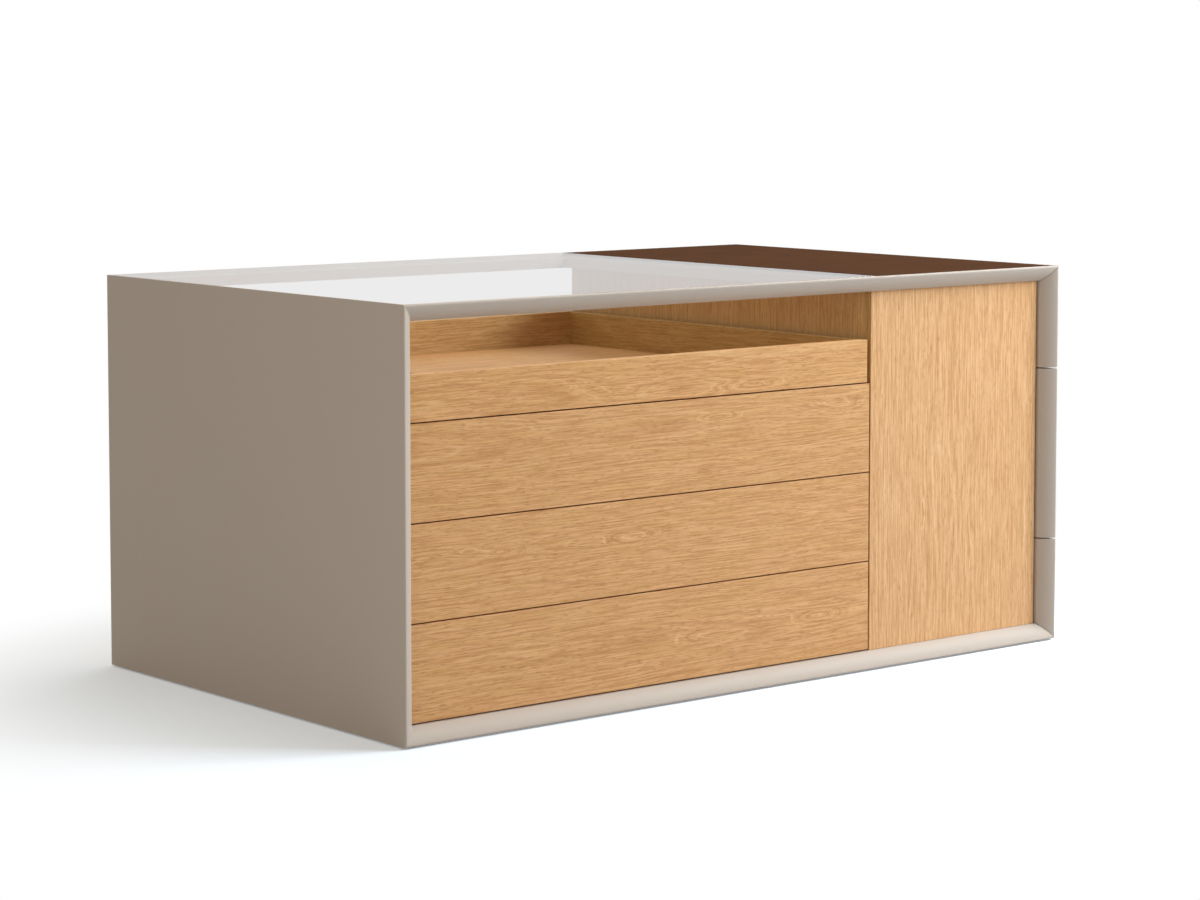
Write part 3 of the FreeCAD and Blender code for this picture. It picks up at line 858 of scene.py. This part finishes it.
class ISLAND_OT_inlay(bpy.types.Operator):
    """Builds the leather-covered part of the top"""
    bl_idname = "island.inlay"
    bl_label = "Leather inlay"

    def execute(self, context):
        sizes = context.scene.island_sizes
        edge, corner = sizes.leather_edge, sizes.leather_corner
        low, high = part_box("top_inlay")
        turn = np.linspace(0.0, math.pi / 2, LEATHER_POINTS)
        rings = [(0.0, low.z), (0.0, high.z - edge - LEATHER_ROW)]
        rings += [(edge * (1 - math.cos(a)), high.z - edge * (1 - math.sin(a))) for a in turn]
        rings.append((edge + LEATHER_ROW, high.z))
        loops = np.stack([rounded_rectangle(low, high, corner, inset, z) for inset, z in rings])
        build_piece("leather_top", [loft(loops), loops[0], loops[-1]], leather_material(),
                    "top_inlay", "carcass")
        return {"FINISHED"}


class ISLAND_OT_glass(bpy.types.Operator):
    """Finishes the pane and the pads that it lies on"""
    bl_idname = "island.glass"
    bl_label = "Glass"

    def execute(self, context):
        dress(["glass_top"], glass_material())
        dress(["glass_pads"], pad_material())
        return {"FINISHED"}


# How each oak board is cut: the way its grain runs, where the cut lies in the tree, and how its
# leaf differs from the others in figure and colour. The tints of the divider and the tray are
# partly painted shade, darker for the little light inside the display space
DRAWER_TINT = (1.10, 1.035, 0.95)
OAK_CUTS = {
    "drawer_1_front": dict(grain="level", heart=-6, radius=48, shift=-300, sway=0.7,
                           tone_and_shade=DRAWER_TINT, eyes=((110, -8, 150, 26), (190, -12, 170, 24),
                                                   (400, -4, 180, 28))),
    "drawer_2_front": dict(grain="level", heart=18, radius=46, shift=2100, sway=0.7, tilt=-0.008,
                           tone_and_shade=DRAWER_TINT, eyes=((-345, 20, 130, 26), (-420, 26, 140, 20),
                                                   (-35, 19, 190, 26))),
    "drawer_3_front": dict(grain="level", heart=40, radius=50, shift=4700, sway=0.7, tilt=0.006,
                           tone_and_shade=DRAWER_TINT, eyes=((462, 49, 190, 36), (150, 48, 150, 18))),
    "tray_front": dict(grain="level", heart=-22, radius=60, shift=6900, sway=0.7,
                       tone_and_shade=(1.105, 1.035, 0.91), eyes=((240, -25, 200, 24),)),
    # Painted shade: the edge tone darkens this board's two long edges, for the dark line in the
    # gaps beside them
    "front_board_right": dict(grain="upright", heart=-30, radius=90, shift=9200, rings=0.85,
                              sway=0.5, clouds=0.3, tone_and_shade=(1.195, 1.185, 1.19),
                              edge=(0.78, 0.83, 0.66),
                              eyes=((235, -84, 130, 22), (-90, -84, 120, 18),
                                    (-100, 46, 240, 30))),
    # Painted shade: the divider's tint is darker than the fronts' for the little light in the
    # display space
    "divider": dict(grain="upright", heart=0, radius=700, shift=11800, sway=0.5, clouds=0.5,
                    tone_and_shade=(0.93, 1.02, 0.94)),
    "rear_board_right": dict(grain="upright", heart=10, radius=100, shift=14000, sway=0.5,
                             clouds=0.5, tone_and_shade=DRAWER_TINT),
    "gable_left": dict(grain="upright", heart=0, radius=700, shift=16000),
    "rear_panel": dict(grain="level", heart=60, radius=120, shift=18000, tone_and_shade=DRAWER_TINT),
    # Painted shade: the tray's tints are darker than the fronts' for the little light inside the
    # display space
    "tray_sides": dict(grain="inward", heart=30, radius=800, shift=20000, rings=0.7, sway=0.5,
                       clouds=0.5, tone_and_shade=(0.75, 0.79, 0.57)),
    "tray_back": dict(grain="level", heart=50, radius=120, shift=22000, rings=0.7, sway=0.4,
                      clouds=0.5, tone_and_shade=(0.87, 0.90, 0.80)),
    "tray_base": dict(grain="flat", heart=150, radius=100, shift=24000, rings=0.7, sway=0.5,
                      clouds=0.7, tone_and_shade=(0.95, 0.885, 0.74)),
}


class ISLAND_OT_oak(bpy.types.Operator):
    """Finishes the oak fronts, boards and tray, each cut from its own place in the tree"""
    bl_idname = "island.oak"
    bl_label = "Oak boards and fronts"

    def execute(self, context):
        for node, cut in OAK_CUTS.items():
            dress([node], oak_material(node, **cut))
        return {"FINISHED"}


class ISLAND_OT_drawer_boxes(bpy.types.Operator):
    """Finishes the boxes of the six drawers"""
    bl_idname = "island.drawer_boxes"
    bl_label = "Drawer boxes"

    def execute(self, context):
        for number, name in enumerate(("drawer_1", "drawer_2", "drawer_3",
                                       "end_drawer_1", "end_drawer_2", "end_drawer_3")):
            at_end = name.startswith("end")
            for kind, grain in (("sides", "level" if at_end else "inward"),
                                ("back", "inward" if at_end else "level"),
                                ("base", "flat" if at_end else "flat_inward")):
                node = "%s_%s" % (name, kind)
                dress([node], oak_material(node, grain, heart=40, radius=300,
                                           shift=30000 + 1500 * number, rings=0.6))
        return {"FINISHED"}


class ISLAND_OT_fittings(bpy.types.Operator):
    """Finishes the runners and the glides"""
    bl_idname = "island.fittings"
    bl_label = "Runners and glides"

    def execute(self, context):
        dress([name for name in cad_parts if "runner" in name], steel_material())
        dress(["glides"], nylon_material())
        return {"FINISHED"}


class ISLAND_OT_studio(bpy.types.Operator):
    """Sets up the floor, the light and the camera"""
    bl_idname = "island.studio"
    bl_label = "Studio"

    def execute(self, context):
        scene = context.scene
        studio = scene.island_studio
        for name in ("studio_floor", "camera", *(key + "_light" for key in LIGHTS)):
            remove_object(name)

        mesh = bpy.data.meshes.new("studio_floor")
        mesh.from_pydata([(x * FLOOR_REACH, y * FLOOR_REACH, 0.0)
                          for x, y in ((-1, -1), (1, -1), (1, 1), (-1, 1))], [], [(0, 1, 2, 3)])
        mesh.materials.append(floor_material())
        floor = bpy.data.objects.new("studio_floor", mesh)
        scene.collection.objects.link(floor)

        for key, (place, aim, size, colour, mirrored) in LIGHTS.items():
            lamp = bpy.data.lights.new(key + "_light", "AREA")
            lamp.shape = "SQUARE"
            lamp.size = size
            lamp.energy = getattr(studio, key + "_power")
            lamp.color = colour[:3]
            light = bpy.data.objects.new(key + "_light", lamp)
            light.location = place
            way = Vector(aim) - light.location
            light.rotation_euler = way.to_track_quat("-Z", "Y").to_euler()
            light.visible_glossy = mirrored
            scene.collection.objects.link(light)

        lens = bpy.data.cameras.new("camera")
        lens.lens = FOCAL_LENGTH
        lens.sensor_width = SENSOR_WIDTH
        lens.shift_y = LENS_SHIFT
        camera = bpy.data.objects.new("camera", lens)
        camera.location = CAMERA_PLACE
        camera.rotation_euler = CAMERA_TURN
        scene.collection.objects.link(camera)
        scene.camera = camera
        scene.world = white_room(studio.ambient)
        scene.view_settings.view_transform = "Standard"
        return {"FINISHED"}


class ISLAND_PT_sidebar(bpy.types.Panel):
    """Sizes, colours and steps of the closet island"""
    bl_idname = "ISLAND_PT_sidebar"
    bl_label = "Closet island"
    bl_space_type = "VIEW_3D"
    bl_region_type = "UI"
    bl_category = "Island"

    def draw(self, context):
        for group in (context.scene.island_sizes, context.scene.island_colours,
                      context.scene.island_studio):
            box = self.layout.box()
            for name in group.__annotations__:
                box.prop(group, name)
        for operator in OPERATORS:
            self.layout.operator(operator.bl_idname)


OPERATORS = (ISLAND_OT_frame, ISLAND_OT_end_fronts, ISLAND_OT_inlay, ISLAND_OT_glass, ISLAND_OT_oak,
             ISLAND_OT_drawer_boxes, ISLAND_OT_fittings, ISLAND_OT_studio)
CLASSES = (IslandSizes, IslandColours, IslandStudio, *OPERATORS, ISLAND_PT_sidebar)


def register():
    for item in CLASSES:
        bpy.utils.register_class(item)
    bpy.types.Scene.island_sizes = PointerProperty(type=IslandSizes)
    bpy.types.Scene.island_colours = PointerProperty(type=IslandColours)
    bpy.types.Scene.island_studio = PointerProperty(type=IslandStudio)


def unregister():
    del bpy.types.Scene.island_studio
    del bpy.types.Scene.island_colours
    del bpy.types.Scene.island_sizes
    for item in reversed(CLASSES):
        bpy.utils.unregister_class(item)


def main():
    """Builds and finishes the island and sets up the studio."""
    register()
    bpy.ops.island.frame()
    bpy.ops.island.end_fronts()
    bpy.ops.island.inlay()
    bpy.ops.island.glass()
    bpy.ops.island.oak()
    bpy.ops.island.drawer_boxes()
    bpy.ops.island.fittings()
    bpy.ops.island.studio()


if __name__ == "__main__":
    main()
